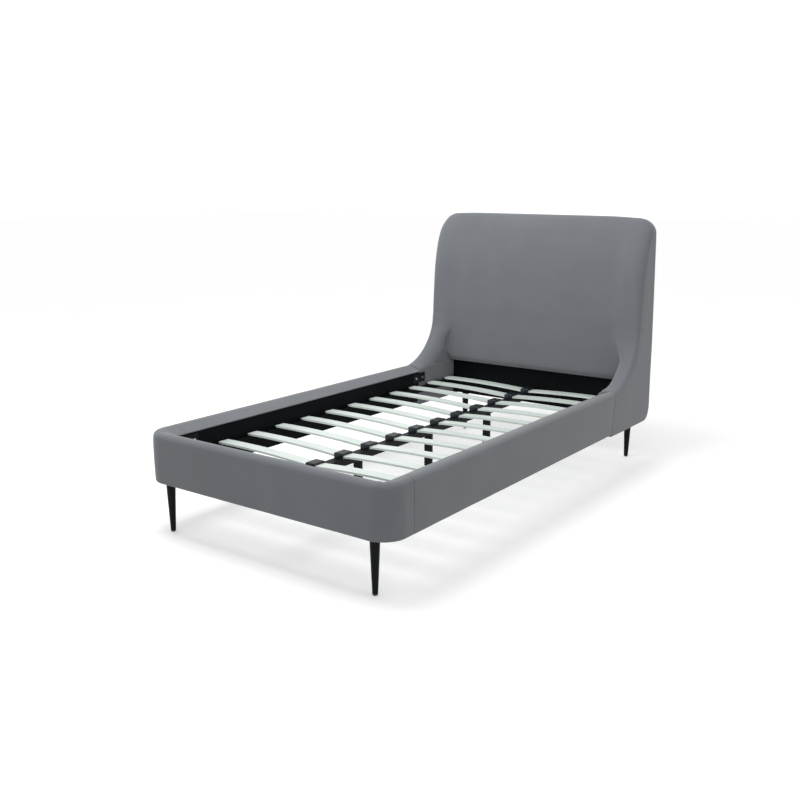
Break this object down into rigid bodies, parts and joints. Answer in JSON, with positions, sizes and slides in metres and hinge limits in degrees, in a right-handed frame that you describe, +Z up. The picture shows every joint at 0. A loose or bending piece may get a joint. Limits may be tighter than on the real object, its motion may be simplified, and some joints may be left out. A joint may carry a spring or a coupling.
{
  "type": "sleigh bed",
  "caption": "Upholstered twin sleigh bed: padded rails sweep up into a winged headboard; bowed slats rest on side ledges and a centre rail with levelling feet",
  "frame": {"origin": "on the floor, under the middle of the bed's overall box", "axes": "+X to the right seen from the foot end, +Y towards the headboard, +Z up"},
  "size_m": [1.18, 2.1349, 1.1836],
  "materials": {
    "upholstery": "matte",
    "back_cloth": "matte",
    "black_board": "matte",
    "plywood": "matte",
    "slat_birch": "satin",
    "black_steel": "satin",
    "leg_black": "satin",
    "black_plastic": "matte",
    "zinc_steel": "satin"
  },
  "bodies": {
    "frame": {"foot_cover": "upholstery", "side_rail_cover_left": "upholstery", "side_rail_cover_right": "upholstery", "wing_cover_left": "upholstery", "wing_cover_right": "upholstery", "headboard_pad": "upholstery", "headboard_back_cover": "back_cloth", "foot_frame": "black_board", "side_rail_frame_left": "black_board", "side_rail_frame_right": "black_board", "headboard_cross_board": "black_board", "slat_ledge_left": "black_board", "slat_ledge_right": "black_board", "headboard_board": "plywood", "wing_frame_left": "plywood", "wing_frame_right": "plywood", "headboard_beam": "plywood", "slat_left_01": "slat_birch", "slat_right_01": "slat_birch", "slat_left_02": "slat_birch", "slat_right_02": "slat_birch", "slat_left_03": "slat_birch", "slat_right_03": "slat_birch", "slat_left_04": "slat_birch", "slat_right_04": "slat_birch", "slat_left_05": "slat_birch", "slat_right_05": "slat_birch", "slat_left_06": "slat_birch", "slat_right_06": "slat_birch", "slat_left_07": "slat_birch", "slat_right_07": "slat_birch", "slat_left_08": "slat_birch", "slat_right_08": "slat_birch", "slat_left_09": "slat_birch", "slat_right_09": "slat_birch", "slat_left_10": "slat_birch", "slat_right_10": "slat_birch", "slat_left_11": "slat_birch", "slat_right_11": "slat_birch", "slat_left_12": "slat_birch", "slat_right_12": "slat_birch", "centre_rail": "black_steel", "centre_rail_hangers": "black_steel", "centre_leg_1": "black_steel", "centre_leg_2": "black_steel", "centre_leg_3": "black_steel", "corner_brackets": "black_steel", "head_brackets": "black_steel", "corner_leg_front_left": "leg_black", "corner_leg_front_right": "leg_black", "corner_leg_rear_left": "leg_black", "corner_leg_rear_right": "leg_black", "slat_end_clips": "black_plastic", "slat_centre_caps": "black_plastic", "leg_glides": "black_plastic", "bracket_bolts": "zinc_steel"},
    "levelling_foot_body_1": {"levelling_foot_1": "black_plastic"},
    "levelling_foot_body_2": {"levelling_foot_2": "black_plastic"},
    "levelling_foot_body_3": {"levelling_foot_3": "black_plastic"}
  },
  "joints": [
    {"name": "levelling_foot_1_screw", "type": "slide", "parent": "frame", "child": "levelling_foot_body_1", "axis": [0, 0, 1], "range_m": [0, 0.012]},
    {"name": "levelling_foot_2_screw", "type": "slide", "parent": "frame", "child": "levelling_foot_body_2", "axis": [0, 0, 1], "range_m": [0, 0.012]},
    {"name": "levelling_foot_3_screw", "type": "slide", "parent": "frame", "child": "levelling_foot_body_3", "axis": [0, 0, 1], "range_m": [0, 0.012]}
  ]
}
